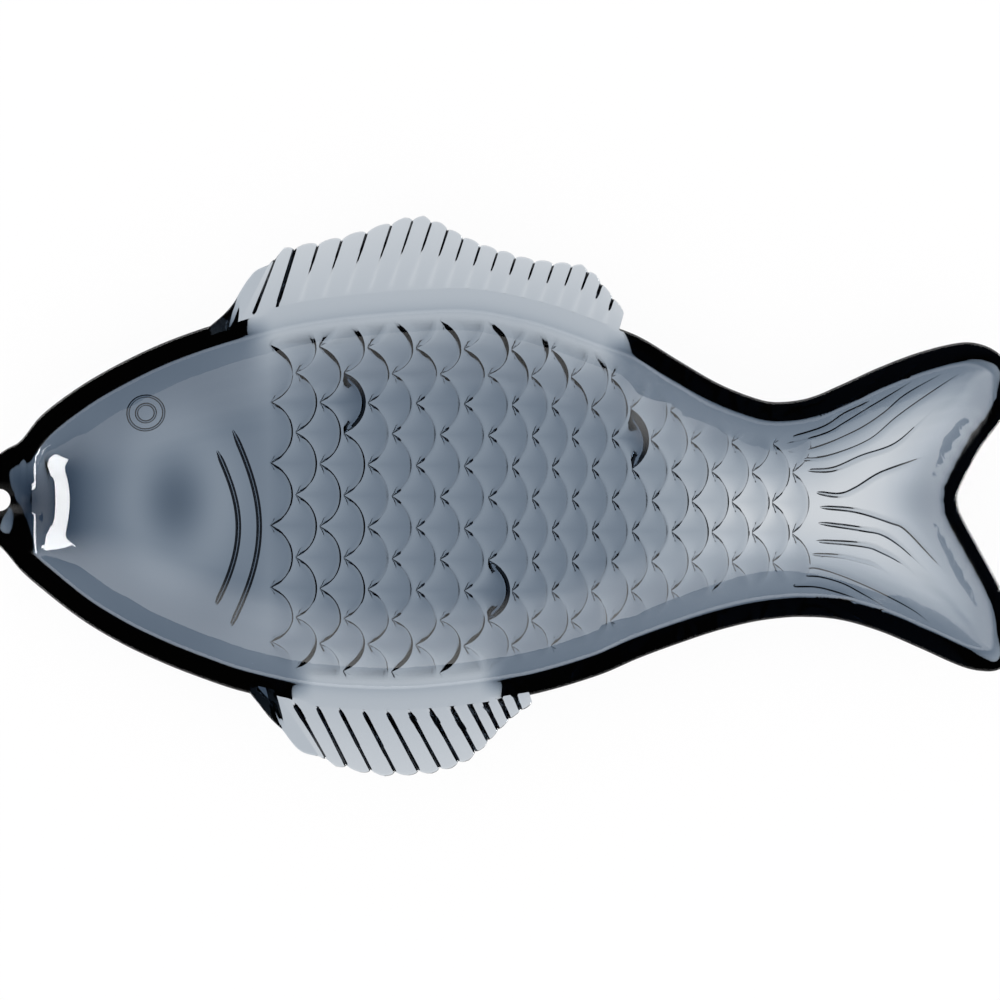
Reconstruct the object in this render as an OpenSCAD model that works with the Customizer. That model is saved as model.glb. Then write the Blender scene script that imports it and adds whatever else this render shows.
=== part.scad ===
// A fish shaped serving platter, pressed in smoke-grey glass, mouth at -X and tail at +X.
// The inside of the well is smooth. Scales, eye, gills, feet and tail rays stand on the underside.
// It is one pressing, divided here at planes and surfaces where its regions meet face to face.

/* [Overall] */
// Length from the lips to the tips of the tail
platter_length = 360; // [330:5:390]
// Width of the dish over its rim, without the fins
dish_w = 148; // [140:1:156]

/* [Glass] */
// Thickness of the floor without the scales
glass_t = 5; // [4:0.25:6.5]
// Width of the flat-cut rim
rim_w = 7.7; // [6:0.1:9]
// Width of the flat rim from the lips to the well
nose_rim_w = 16; // [14:0.5:19]
// Width of the flat rim along the fork, measured along the fish
fork_rim_w = 7; // [5.5:0.1:8.5]
// Height of the upright edge outside the rim
edge_h = 1.2; // [0.8:0.1:2]

/* [Well] */
// Depth of the well below the rim
well_d = 20; // [16:0.5:25]
// Run of the curved wall from the rim down to the flat floor
wall_run = 32; // [27:0.5:37]

/* [Mouth] */
// Width of the open mouth between the lips
mouth_w = 7.7; // [5:0.1:9]
// Length of the lips, from their front to the back of the mouth
lip_length = 8.4; // [6:0.1:10]
// Depth of the shallow channel that runs from the mouth into the well
channel_d = 1.5; // [0.5:0.1:2.5]
// Width of that channel
channel_w = 9; // [6:0.5:12]

/* [Eye and gills] */
// Diameter of the outer ring of the eye
eye_d = 14; // [11:0.5:16]
// Diameter of the inner ring of the eye
pupil_d = 7.6; // [6:0.1:8]
// Width of both rings
ring_w = 1.2; // [0.8:0.1:1.6]
// Height of both rings below the glass
ring_h = 0.9; // [0.6:0.1:1.4]
// Width of a gill rib
rib_w = 1.8; // [1.4:0.1:2.2]
// Height of a gill rib at its crest
rib_h = 1.3; // [0.8:0.1:1.8]
// Height at which the flanks of a gill rib leave the glass
rib_foot_h = 0.3; // [0.2:0.1:0.5]
// Span of the gill ribs across the fish
gill_span = 58; // [50:1:70]
// How far the front gill curves back over its half span
front_gill_sag = 8.4; // [6:0.1:9.5]
// How far the rear gill curves back over its half span
rear_gill_sag = 10.5; // [9:0.1:12]

/* [Scales] */
// Width of a scale across the fish
scale_pitch = 22.2; // [20:0.1:24]
// Mean distance along the fish from one row of scales to the next
scale_gap = 7.65; // [7:0.05:9]
// Height of a scale at its rounded edge
scale_h = 0.9; // [0.5:0.1:1.3]
// Run of the steep step behind that edge
step_w = 0.6; // [0.4:0.05:0.8]
// Bare glass between the rim and the scales
scale_margin = 3; // [2:0.5:5]
// Stretch over which the scales fade in beyond it
scale_fade = 4; // [2:0.5:6]

/* [Feet] */
// Height of the feet below the scales
foot_h = 3; // [2:0.25:5]
// Gap between the edge of a foot and the edge of its scale
foot_inset = 0.6; // [0.5:0.05:1]
// Width of the level land that the platter rests on
foot_land = 3.2; // [2:0.1:4.5]

/* [Fins] */
// Height of the dorsal fin's longest ray above the rim
dorsal_h = 25.9; // [20:0.1:30]
// Height of the belly fin's longest ray below the rim, across the fish
belly_h = 23.3; // [18:0.1:28]
// Thickness of a fin ray
fin_t = 4; // [3:0.25:5]
// Thickness of the web between the rays
web_t = 2.4; // [1.6:0.1:3]
// How far a ray is drawn in under the rim before it is cut to the wall
root_in = 7; // [6:0.5:9]

/* [Tail] */
// Height of the tail rays below the glass
ray_h = 0.8; // [0.4:0.1:1.2]
// Bare glass between the last scales and the tail rays
tail_gap = 1.5; // [1:0.25:3]

/* [Hidden] */
glass = [0.45, 0.48, 0.54];
deep_glass = [0.3, 0.33, 0.38];
pale_glass = [0.74, 0.74, 0.77];
$fn = 48;

// Heights: the feet stand on z = 0, the scales start above them and the rim is the top
rim_z = foot_h + scale_h + glass_t + well_d;
front_x = -platter_length / 2;
overrun = 1;

// Outer edge of the rim without the fins, as shares of the length from the lips and of half the dish's width
upper_edge_share = [[0, 0.123], [0.0078, 0.18], [0.0195, 0.223], [0.033, 0.261], [0.0526, 0.379], [0.0916, 0.522],
    [0.1306, 0.631], [0.1696, 0.721], [0.2086, 0.792], [0.2476, 0.849], [0.2963, 0.911], [0.3635, 0.958],
    [0.4454, 0.985], [0.4815, 0.98], [0.5205, 0.946], [0.5556, 0.901], [0.6053, 0.815], [0.6374, 0.755],
    [0.6764, 0.64], [0.7154, 0.531], [0.7544, 0.458], [0.7739, 0.446], [0.803, 0.467], [0.8324, 0.526],
    [0.8713, 0.612], [0.9103, 0.683], [0.9493, 0.728], [0.9688, 0.722], [0.9873, 0.678], [0.9961, 0.617], [1, 0.531]];
lower_edge_share = [[0, -0.171], [0.0078, -0.214], [0.0195, -0.271], [0.033, -0.351], [0.0526, -0.436],
    [0.0916, -0.583], [0.1306, -0.697], [0.1696, -0.787], [0.2086, -0.862], [0.2476, -0.925], [0.306, -0.987],
    [0.3548, -1.01], [0.4035, -1.015], [0.4522, -0.998], [0.501, -0.968], [0.54, -0.934], [0.5984, -0.849],
    [0.6374, -0.768], [0.6764, -0.698], [0.7154, -0.636], [0.7544, -0.592], [0.7934, -0.574], [0.8324, -0.588],
    [0.8713, -0.642], [0.9103, -0.722], [0.9493, -0.806], [0.9688, -0.83], [0.9873, -0.825], [0.9961, -0.778],
    [1, -0.69]];
// The fork, from its notch to the two tips, in the same shares, but measured up or down from the notch
notch_share = [0.947, -0.0095];
upper_fork_share = [[0, 0], [0.0024, 0.05], [0.0219, 0.232], [0.0404, 0.355], [0.0492, 0.426], [0.053, 0.474]];
lower_fork_share = [[0, 0], [0.0024, 0.066], [0.0219, 0.246], [0.0404, 0.412], [0.0492, 0.507], [0.053, 0.588]];
// Depth of the well along the fish
depth_share = [[0, 0.9], [0.15, 1], [0.7, 1], [0.8, 0.84], [0.88, 0.66], [1, 0.5]];
// The cosine of the fork's slope, which turns a distance along the fish into one square to the fork
fork_cos_share = 0.87;

function along(share) = front_x + share * platter_length;
function across(share) = share * dish_w / 2;
function between(value, low, high) = min(max(value, low), high);
function mix(a, b, t) = a + (b - a) * t;
function ease(t) = let(c = between(t, 0, 1)) c * c * (3 - 2 * c);

// A smooth curve through hand-chosen points: a cubic on each interval with the mean slope at each point
function slope_at(tab, i) =
    let(a = max(i - 1, 0), b = min(i + 1, len(tab) - 1))
    (tab[b][1] - tab[a][1]) / (tab[b][0] - tab[a][0]);
function cubic_at(tab, i, x) =
    let(w = tab[i + 1][0] - tab[i][0], t = (x - tab[i][0]) / w)
    (2 * pow(t, 3) - 3 * pow(t, 2) + 1) * tab[i][1] + (pow(t, 3) - 2 * pow(t, 2) + t) * w * slope_at(tab, i)
    + (3 * pow(t, 2) - 2 * pow(t, 3)) * tab[i + 1][1] + (pow(t, 3) - pow(t, 2)) * w * slope_at(tab, i + 1);
curve_steps = 6;
slope_steps = 200;
function dense(tab) = [for (i = [0 : len(tab) - 2], k = [0 : curve_steps - 1])
    let(x = mix(tab[i][0], tab[i + 1][0], k / curve_steps))
    [along(x), across(cubic_at(tab, i, x))], [along(tab[len(tab) - 1][0]), across(tab[len(tab) - 1][1])]];
upper_line = dense(upper_edge_share);
lower_line = dense(lower_edge_share);
function upper_y(x) = lookup(x, upper_line);
function lower_y(x) = lookup(x, lower_line);
slope_step = platter_length / slope_steps;
function upper_slope(x) = (upper_y(x + slope_step) - upper_y(x - slope_step)) / slope_step / 2;
function lower_slope(x) = (lower_y(x + slope_step) - lower_y(x - slope_step)) / slope_step / 2;
// The steepest slope at which the rim's width is still measured square to its edge
steepest_share = 1.3;
function upper_rim(x) = rim_w * norm([1, between(upper_slope(x), -steepest_share, steepest_share)]);
function lower_rim(x) = rim_w * norm([1, between(lower_slope(x), -steepest_share, steepest_share)]);

// The fork's edge: its y at a place along the fish, and back
notch_x = along(notch_share[0]);
notch_y = across(notch_share[1]);
upper_fork = [for (p = upper_fork_share) [notch_x + p[0] * platter_length, notch_y + across(p[1])]];
lower_fork = [for (p = lower_fork_share) [notch_x + p[0] * platter_length, notch_y - across(p[1])]];
function swapped(tab) = [for (p = tab) [p[1], p[0]]];
function reversed(tab) = [for (i = [len(tab) - 1 : -1 : 0]) tab[i]];
fork_by_y = concat(reversed(swapped(lower_fork)), [for (i = [1 : len(upper_fork) - 1]) swapped(upper_fork)[i]]);
function fork_x(y) = lookup(y, fork_by_y);

// Distances square to the four stretches of the edge, and one rounded distance that joins them
function edge_gaps(x, y) = [
    (upper_y(x) - y) * rim_w / upper_rim(x),
    (y - lower_y(x)) * rim_w / lower_rim(x),
    x - front_x,
    (fork_x(y) - x) * fork_cos_share];
rim_widths = [rim_w, rim_w, nose_rim_w, fork_rim_w * fork_cos_share];
tiny = 0.001;
round_power = 4;
function joined(gaps) =
    let(inverse = [for (g = gaps) pow(max(g, tiny), -round_power)])
    pow(1 / (inverse * [1, 1, 1, 1]), 1 / round_power);
function well_share(x) = lookup((x - front_x) / platter_length, depth_share);

// The inside of the well: a parabola from the rim's inner edge down to the flat floor
function channel(x, y) = channel_d * exp(-pow((y - mouth_y) / channel_w * 2, 2))
    * (1 - ease((x - front_x - nose_rim_w) / nose_rim_w));
function well_z(x, y) =
    let(s = well_share(x), d = joined(edge_gaps(x, y) - rim_widths), r = min(d / wall_run / s, 1))
    rim_z - well_d * s * (1 - pow(1 - r, 2));
// The underside: the same form from the rim's outer edge
function under_z(x, y) =
    let(s = well_share(x), d = joined(edge_gaps(x, y)), r = min(d / (wall_run * s + rim_w), 1))
    rim_z - edge_h - (well_d * s + glass_t - edge_h) * (1 - pow(1 - r, 2));

// A closed skin between an upper and a lower grid of points. The lower grid may have more lines.
function flat_list(grid) = [for (line = grid, p = line) p];
module skin(top, under, ratio = 1) {
    rows = len(top[0]);
    top_lines = len(top);
    under_lines = len(under);
    function t(i, j) = i * rows + j;
    function u(i, j) = (top_lines + i) * rows + j;
    half = ceil(ratio / 2);
    upper_faces = [for (i = [0 : top_lines - 2], j = [0 : rows - 2], k = [0, 1])
        k == 0 ? [t(i, j), t(i, j + 1), t(i + 1, j + 1)] : [t(i, j), t(i + 1, j + 1), t(i + 1, j)]];
    lower_faces = [for (i = [0 : under_lines - 2], j = [0 : rows - 2], k = [0, 1])
        k == 0 ? [u(i, j), u(i + 1, j), u(i + 1, j + 1)] : [u(i, j), u(i + 1, j + 1), u(i, j + 1)]];
    front_faces = [for (j = [0 : rows - 2], k = [0, 1])
        k == 0 ? [u(0, j), t(0, j + 1), t(0, j)] : [u(0, j), u(0, j + 1), t(0, j + 1)]];
    a = top_lines - 1;
    b = under_lines - 1;
    back_faces = [for (j = [0 : rows - 2], k = [0, 1])
        k == 0 ? [u(b, j), t(a, j), t(a, j + 1)] : [u(b, j), t(a, j + 1), u(b, j + 1)]];
    n = rows - 1;
    right_faces = [for (i = [0 : top_lines - 2], k = [0 : ratio])
        let(base = i * ratio)
        k < ratio ? [u(base + k, 0), t(i + (k < ratio / 2 ? 0 : 1), 0), u(base + k + 1, 0)]
        : [u(base + half, 0), t(i, 0), t(i + 1, 0)]];
    left_faces = [for (i = [0 : top_lines - 2], k = [0 : ratio])
        let(base = i * ratio)
        k < ratio ? [u(base + k, n), u(base + k + 1, n), t(i + (k < ratio / 2 ? 0 : 1), n)]
        : [u(base + half, n), t(i + 1, n), t(i, n)]];
    polyhedron(points = concat(flat_list(top), flat_list(under)),
        faces = concat(upper_faces, lower_faces, front_faces, back_faces, right_faces, left_faces), convexity = 8);
}
function every(list, step) = [for (i = [0 : step : len(list) - 1]) list[i]];
function raised(grid, z) = [for (line = grid) [for (p = line) [p[0], p[1], z]]];
function lowered(grid, depths) = [for (i = [0 : len(grid) - 1]) [for (j = [0 : len(grid[i]) - 1])
    grid[i][j] - [0, 0, depths[i][j]]]];
function cut_out(grid, i0, i1, j0, j1) = [for (i = [i0 : i1]) [for (j = [j0 : j1]) grid[i][j]]];

// Head: lines across the fish, which bend back at the gills, each with its place and its bend
mouth_y = across(-0.019);
gill_y = across(-0.149);
body_start = along(0.269);
lip_back = front_x + lip_length;
front_gill_x = along(0.2427);
rear_gill_x = along(0.2632);
head_rows = 24;
half_bent_share = 0.5;
near_gill_share = 0.8;
head_bare_share = [0.035, 0.05, 0.07, 0.09, 0.113, 0.138, 0.163, 0.186];
head_lines = concat([[lip_back, 0]], [for (s = head_bare_share) [along(s), 0]],
    [[along(0.203), front_gill_sag * half_bent_share], [along(0.219), front_gill_sag * near_gill_share]],
    [for (k = [-1 : 1]) [front_gill_x + k * rib_w / 2, front_gill_sag]],
    [for (k = [-1 : 1]) [rear_gill_x + k * rib_w / 2, rear_gill_sag]], [[body_start, 0]]);
front_rib_line = len(head_lines) - 6;
rear_rib_line = len(head_lines) - 3;
// Bend of a gill: part of a cosine over its span, level beyond it
function gill_bend(y) = 1 - cos(90 * min(abs(y - gill_y) / gill_span * 2, 1));
function row_mix(j, n, low, high) = mix(low, high, j / n);
// The well starts behind the wide rim of the nose, so its first lines are moved back
shift_run_share = 2.5;
shift_run = nose_rim_w * shift_run_share;
first_shift = front_x + nose_rim_w - head_lines[1][0];
function well_shift(x) = first_shift * pow(1 - between((x - head_lines[1][0]) / shift_run, 0, 1), 2);
function head_under_point(line, j) =
    let(y0 = row_mix(j, head_rows, lower_y(line[0]), upper_y(line[0])),
        x = line[0] - line[1] * gill_bend(y0),
        y = row_mix(j, head_rows, lower_y(x), upper_y(x)))
    [x, y, under_z(x, y)];
function head_top_point(i, j) =
    let(line = head_lines[i], edge = j == 0 || j == head_rows,
        x0 = line[0] + (edge || i == 0 ? 0 : well_shift(line[0])),
        y0 = row_mix(j, head_rows, lower_y(x0), upper_y(x0)),
        x = x0 - line[1] * gill_bend(y0),
        y = j == 0 ? lower_y(x) : j == head_rows ? upper_y(x)
            : row_mix(j - 1, head_rows - 2, lower_y(x) + lower_rim(x), upper_y(x) - upper_rim(x)))
    [x, y, (edge || i == 0 ? rim_z : well_z(x, y)) - channel(x, y)];
head_under = [for (line = head_lines) [for (j = [0 : head_rows]) head_under_point(line, j)]];
head_top = [for (i = [0 : len(head_lines) - 1]) [for (j = [0 : head_rows]) head_top_point(i, j)]];

// Scales: chain k crosses the fish as a row of arcs, and every second chain is moved by half a scale
first_chain = along(0.2968);
last_chain = along(0.806);
chains = 1 + round((last_chain - first_chain) / scale_gap);
chain_place_share = [[0, 0], [0.375, 0.42], [1, 1]];
function chain_x(k) = mix(first_chain, last_chain, lookup((k - 1) / (chains - 1), chain_place_share));
// The arcs sag by less than the distance to the next chain, so that neighbouring chains never meet
sag_share = 0.87;
function chain_sag(k) = sag_share * (chain_x(max(k, 2)) - chain_x(max(k, 2) - 1));
function arc_r(k) = (pow(scale_pitch / 2, 2) + pow(chain_sag(k), 2)) / chain_sag(k) / 2;
function chain_phase(k) = k % 2 == 0 ? scale_pitch / 2 : 0;
function arc_back(k, s) =
    let(t = (s - chain_phase(k)) / scale_pitch, off = (t - round(t)) * scale_pitch)
    k == 0 ? 0 : arc_r(k) - sqrt(pow(arc_r(k), 2) - off * off);
// Rows run along the fish, level on the floor and closer in plan where the wall climbs
rows_per_pitch = 6;
floor_half_share = 0.6;
floor_half = across(floor_half_share);
wall_pitch_share = 0.84;
row_drift_share = 0.016;
rows_half = ceil((floor_half + (dish_w / 2 - floor_half) / wall_pitch_share) / scale_pitch * rows_per_pitch);
body_rows = 2 * rows_half;
row_gap = 0.5;
function row_s(j) = (j - rows_half) * scale_pitch / rows_per_pitch;
function row_mid(x) = across(0.007) - row_drift_share * (x - first_chain);
function row_y(s, x) =
    row_mid(x) + sign(s) * (min(abs(s), floor_half) + max(abs(s) - floor_half, 0) * wall_pitch_share);
function row_of(y, x) =
    let(c = y - row_mid(x))
    sign(c) * (min(abs(c), floor_half) + max(abs(c) - floor_half, 0) / wall_pitch_share);
function body_x(line, s) =
    let(x = line[0])
    x - arc_back(line[1], between(s, row_of(lower_y(x) + lower_rim(x), x), row_of(upper_y(x) - upper_rim(x), x)));
front_swell_share = 0.2;
// A line is its place, its chain and its share of the scale's height; chain 0 is a straight line
body_end = last_chain + step_w + tail_gap;
body_lines = concat([[body_start, 0, 0], [mix(body_start, first_chain - chain_sag(1), 0.5), 0, front_swell_share]],
    [for (k = [1 : chains], h = [1, 0]) [chain_x(k) + (1 - h) * step_w, k, h]], [[body_end, 0, 0]]);
function scale_mask(x, y) = ease((min(edge_gaps(x, y)) - rim_w - scale_margin) / scale_fade);
// Feet: the chain and the row whose scale lies nearest to each wanted place
foot_place_share = [[0.368, 0.452], [0.511, -0.46], [0.65, 0.278]];
function nearest(list, value) =
    let(least = min([for (v = list) abs(v - value)]))
    [for (i = [0 : len(list) - 1]) if (abs(list[i] - value) == least) i][0];
chain_places = [for (k = [1 : chains]) chain_x(k)];
foot_chains = [for (p = foot_place_share) nearest(chain_places, along(p[0])) + 1];
foot_rows = [for (i = [0 : 2])
    let(k = foot_chains[i], s = row_of(across(foot_place_share[i][1]), chain_x(k)))
    chain_phase(k) + round((s - chain_phase(k)) / scale_pitch) * scale_pitch];
function on_pad(line, s) = len([for (i = [0 : 2])
    if (abs(s - foot_rows[i]) < scale_pitch / 2 + tiny
        && (line[1] == foot_chains[i] && line[2] == 1 || line[1] == foot_chains[i] - 1 && line[2] == 0)) i]) > 0;
function body_under_point(line, j) =
    let(s = row_s(j), x = body_x(line, s), y0 = row_y(s, x),
        y = j == 0 ? lower_y(x) : j == body_rows ? upper_y(x)
            : between(y0, lower_y(x) + row_gap * j, upper_y(x) - row_gap * (body_rows - j)))
    [x, y, on_pad(line, s) ? foot_h : under_z(x, y) - scale_h * line[2] * scale_mask(x, y)];
function body_top_point(line, j) =
    let(s = row_s(j), x = body_x(line, s), y0 = row_y(s, x), edge = j == 0 || j == body_rows,
        y = j == 0 ? lower_y(x) : j == body_rows ? upper_y(x)
            : between(y0, lower_y(x) + lower_rim(x) + row_gap * (j - 1),
                upper_y(x) - upper_rim(x) - row_gap * (body_rows - 1 - j)))
    [x, y, edge ? rim_z : well_z(x, y)];
body_under = [for (line = body_lines) [for (j = [0 : body_rows]) body_under_point(line, j)]];
body_top = [for (line = every(body_lines, 2)) [for (j = [0 : body_rows]) body_top_point(line, j)]];

// Tail: each lobe is a grid from the root to its tip, and from the middle line or the fork to the outer edge
tail_rows = 14;
root_steps = 9;
lobe_steps = 7;
ray_start_steps = 3;
tip_x = platter_length / 2;
tip_rim_share = 0.75;
well_tip_x = tip_x - fork_rim_w * tip_rim_share;
well_notch_x = notch_x - fork_rim_w;
function lobe_x(i, start, notch, tip) =
    i <= root_steps ? mix(start, notch, i / root_steps) : mix(notch, tip, sin(90 * (i - root_steps) / lobe_steps));
tail_steps = root_steps + lobe_steps;
function fork_y(side, x) = lookup(x, side > 0 ? upper_fork : lower_fork);
function lobe_edge_y(side, x) = side > 0 ? upper_y(x) : lower_y(x);
function lobe_rim(side, x) = side > 0 ? upper_rim(x) : lower_rim(x);
function lobe_under_point(side, i, j) =
    let(x = lobe_x(i, body_end, notch_x, tip_x),
        y = row_mix(j, tail_rows, fork_y(side, x), lobe_edge_y(side, x)),
        ray = j % 2 == 0 ? 0 : ray_h * ease(i / ray_start_steps) * ease((min(edge_gaps(x, y)) - rim_w) / scale_fade))
    [x, y, under_z(x, y) - ray];
function lobe_top_point(side, i, j) =
    let(outer = j == tail_rows || i == tail_steps || j == 0 && i >= root_steps,
        step = min(i, tail_steps - 1),
        x_out = lobe_x(i, body_end, notch_x, tip_x),
        x_in = i <= root_steps ? lobe_x(i, body_end, well_notch_x, well_tip_x)
            : mix(well_notch_x, well_tip_x, sin(90 * (step - root_steps) / (lobe_steps - 1))),
        x = outer ? x_out : x_in,
        inner_edge = lobe_edge_y(side, x) - side * lobe_rim(side, x),
        inner_fork = fork_y(side, x + fork_rim_w),
        y = j == tail_rows ? lobe_edge_y(side, x) : outer && i < tail_steps ? fork_y(side, x)
            : i == tail_steps ? row_mix(j, tail_rows, fork_y(side, x), lobe_edge_y(side, x))
            : i >= root_steps ? row_mix(j - 1, tail_rows - 2, inner_fork, inner_edge)
            : row_mix(j, tail_rows - 1, notch_y, inner_edge))
    [x, y, outer ? rim_z : well_z(x, y)];
function lobe_grid(side, top) =
    let(order = side > 0 ? [0 : tail_rows] : [tail_rows : -1 : 0])
    [for (i = [0 : tail_steps]) [for (j = order) top ? lobe_top_point(side, i, j) : lobe_under_point(side, i, j)]];

// Crests of the fin rays, as shares of the length and of the height of the fin's longest ray
dorsal_crest_share = [[0.2749, 0.601], [0.2904, 0.783], [0.3129, 0.782], [0.3363, 0.798], [0.3596, 0.843],
    [0.385, 0.916], [0.4074, 0.989], [0.4264, 1], [0.4435, 0.894], [0.4581, 0.769], [0.4737, 0.67],
    [0.4912, 0.602], [0.5078, 0.575], [0.5263, 0.551], [0.5448, 0.575], [0.5634, 0.629], [0.5809, 0.688],
    [0.5945, 0.62], [0.6062, 0.471], [0.617, 0.333]];
belly_crest_share = [[0.3246, 0.754], [0.3411, 0.884], [0.365, 0.951], [0.3889, 1], [0.4123, 0.994],
    [0.4347, 0.989], [0.4532, 0.939], [0.4708, 0.847], [0.4854, 0.682], [0.4951, 0.53], [0.5049, 0.396],
    [0.5161, 0.266], [0.5273, 0.182]];
// The filled corner between the head's rim and the first ray, in the same shares as the crests
dorsal_corner_share = [[0.2153, 0], [0.2244, 0.05], [0.2328, 0.12], [0.2411, 0.228], [0.2486, 0.375],
    [0.2561, 0.502], [0.2636, 0.587], [0.2711, 0.618]];
belly_corner_share = [[0.2572, 0.04], [0.2667, 0.15], [0.2758, 0.296], [0.2853, 0.412], [0.29, 0.468],
    [0.2972, 0.6], [0.3039, 0.695], [0.3094, 0.745], [0.317, 0.77]];
// How far a ray leans to the tail for each unit of its height
dorsal_lean_share = 0.38;
belly_lean_share = 0.6;
ray_width_share = 0.92;

module head_dish() {
    color(glass)
    skin(head_top, head_under);
}

// A lip: the rim's corner between the front, the outline and the open mouth, flat on top
lip_steps = 6;
lip_rows = 4;
function mouth_edge(x) =
    let(back = lip_back - mouth_w / 2)
    mouth_w / 2 * sqrt(max(1 - pow(max(x - back, 0) / mouth_w * 2, 2), 0));
function lip_grid(side, top) =
    let(order = side > 0 ? [0 : lip_rows] : [lip_rows : -1 : 0])
    [for (i = [0 : lip_steps])
        let(x = front_x + lip_length * sin(90 * i / lip_steps))
        [for (j = order)
            let(y = row_mix(j, lip_rows, mouth_y + side * mouth_edge(x), lobe_edge_y(side, x)))
            [x, y, top ? rim_z : under_z(x, y)]]];
module upper_lip() {
    color(deep_glass)
    skin(lip_grid(1, true), lip_grid(1, false));
}
module lower_lip() {
    color(deep_glass)
    skin(lip_grid(-1, true), lip_grid(-1, false));
}

// The eye: two rings that stand on the underside of the head's upper wall
eye_x = along(0.1506);
eye_y = across(0.417);
module ring(d) {
    difference() {
        cylinder(h = rim_z, d = d);
        translate([0, 0, -overrun])
        cylinder(h = rim_z + 2 * overrun, d = d - 2 * ring_w);
    }
}
module eye_rings() {
    i0 = max([for (i = [0 : len(head_lines) - 1]) if (head_lines[i][0] < eye_x - eye_d / 2) i]);
    i1 = min([for (i = [0 : len(head_lines) - 1]) if (head_lines[i][0] > eye_x + eye_d / 2) i]);
    j0 = max([for (j = [0 : head_rows]) if (max(head_under[i0][j][1], head_under[i1][j][1]) < eye_y - eye_d / 2) j]);
    j1 = min([for (j = [0 : head_rows]) if (min(head_under[i0][j][1], head_under[i1][j][1]) > eye_y + eye_d / 2) j]);
    wall = cut_out(head_under, i0, i1, j0, j1);
    color(deep_glass)
    intersection() {
        skin(wall, [for (line = wall) [for (p = line) p - [0, 0, ring_h]]]);
        translate([eye_x, eye_y, 0])
        union() {
            ring(eye_d);
            ring(pupil_d);
        }
    }
}

// A gill rib: three neighbouring lines of the head's underside, with the middle one lowered most
module gill_rib(line, reach) {
    j0 = min([for (j = [0 : head_rows]) if (head_under[line][j][1] > gill_y - reach / 2) j]);
    j1 = max([for (j = [0 : head_rows]) if (head_under[line][j][1] < gill_y + reach / 2) j]);
    strip = cut_out(head_under, line - 1, line + 1, j0, j1);
    depths = [for (i = [0 : 2]) [for (j = [0 : j1 - j0])
        rib_foot_h + (i == 1 && j > 0 && j < j1 - j0 ? rib_h - rib_foot_h : 0)]];
    skin(strip, lowered(strip, depths));
}
rear_reach_share = 1.28;
module front_gill_rib() {
    color(deep_glass)
    gill_rib(front_rib_line, gill_span);
}
module rear_gill_rib() {
    color(deep_glass)
    gill_rib(rear_rib_line, gill_span * rear_reach_share);
}

module body_dish() {
    color(glass)
    skin(body_top, body_under, 2);
}

// A foot: one scale pressed deeper, level behind its rounded edge and ramped towards the head
ramp_share = 0.7;
module foot(i) {
    k = foot_chains[i];
    r = arc_r(k);
    x = chain_x(k);
    chord = chain_x(k - 1) + step_w + foot_inset / 2;
    land = x - foot_inset - foot_land;
    ramp = foot_h * ramp_share;
    translate([0, row_y(foot_rows[i], x), 0])
    difference() {
        intersection() {
            translate([x - r, 0, 0])
            cylinder(h = foot_h, r = r - foot_inset);
            translate([chord, -r, -overrun])
            cube([2 * r, 2 * r, foot_h + 2 * overrun]);
        }
        translate([0, r, 0])
        rotate([90, 0, 0])
        linear_extrude(2 * r)
        polygon([[chord - overrun, -overrun], [land, -overrun], [land, 0], [chord, ramp], [chord - overrun, ramp]]);
    }
}
module front_foot() {
    color(deep_glass)
    foot(0);
}
module middle_foot() {
    color(deep_glass)
    foot(1);
}
module rear_foot() {
    color(deep_glass)
    foot(2);
}

// Everything inside the outer wall of the head and body, which cuts the fins to their seat
module inside_of_wall() {
    skin(raised(head_under, rim_z + overrun), head_under);
    skin(raised(body_under, rim_z + overrun), body_under);
}
// Points of a fin's edge from their shares
function fin_points(shares, side, fin_h) =
    [for (p = shares)
        let(x = along(p[0]))
        [x, lobe_edge_y(side, x) + side * fin_h * p[1]]];
// A fin: rays from the rim to their crests, with a thinner web between them and a filled front corner
module fin(crest_share, corner_share, side, fin_h, lean) {
    crests = fin_points(crest_share, side, fin_h);
    corner = fin_points(corner_share, side, fin_h);
    last = len(crests) - 1;
    radii = [for (i = [0 : last])
        let(a = min(i, last - 1))
        norm(crests[a + 1] - crests[a]) / 2 * ray_width_share];
    tips = [for (i = [0 : last]) crests[i] - [0, side * radii[i]]];
    roots = [for (p = tips)
        let(x = p[0] - lean * abs(p[1] - lobe_edge_y(side, p[0])))
        [x, lobe_edge_y(side, x) - side * root_in]];
    difference() {
        union() {
            for (i = [0 : last]) {
                hull() {
                    translate([tips[i][0], tips[i][1], rim_z - fin_t])
                    cylinder(h = fin_t, r = radii[i], $fn = 20);
                    translate([roots[i][0], roots[i][1], rim_z - fin_t])
                    cylinder(h = fin_t, r = radii[i] * ray_width_share, $fn = 20);
                }
            }
            translate([0, 0, rim_z - (fin_t + web_t) / 2])
            linear_extrude(web_t)
            polygon(concat(tips, reversed(roots)));
            translate([0, 0, rim_z - fin_t])
            linear_extrude(fin_t)
            polygon(concat(corner, [tips[0], roots[0], corner[0] - [0, side * root_in]]));
        }
        inside_of_wall();
    }
}
module dorsal_fin() {
    color(pale_glass)
    fin(dorsal_crest_share, dorsal_corner_share, 1, dorsal_h, dorsal_lean_share);
}
module belly_fin() {
    color(pale_glass)
    fin(belly_crest_share, belly_corner_share, -1, belly_h, belly_lean_share);
}

module upper_tail_lobe() {
    color(pale_glass)
    skin(lobe_grid(1, true), lobe_grid(1, false));
}
module lower_tail_lobe() {
    color(pale_glass)
    skin(lobe_grid(-1, true), lobe_grid(-1, false));
}

head_dish();
upper_lip();
lower_lip();
eye_rings();
front_gill_rib();
rear_gill_rib();
body_dish();
front_foot();
middle_foot();
rear_foot();
dorsal_fin();
belly_fin();
upper_tail_lobe();
lower_tail_lobe();
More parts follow.
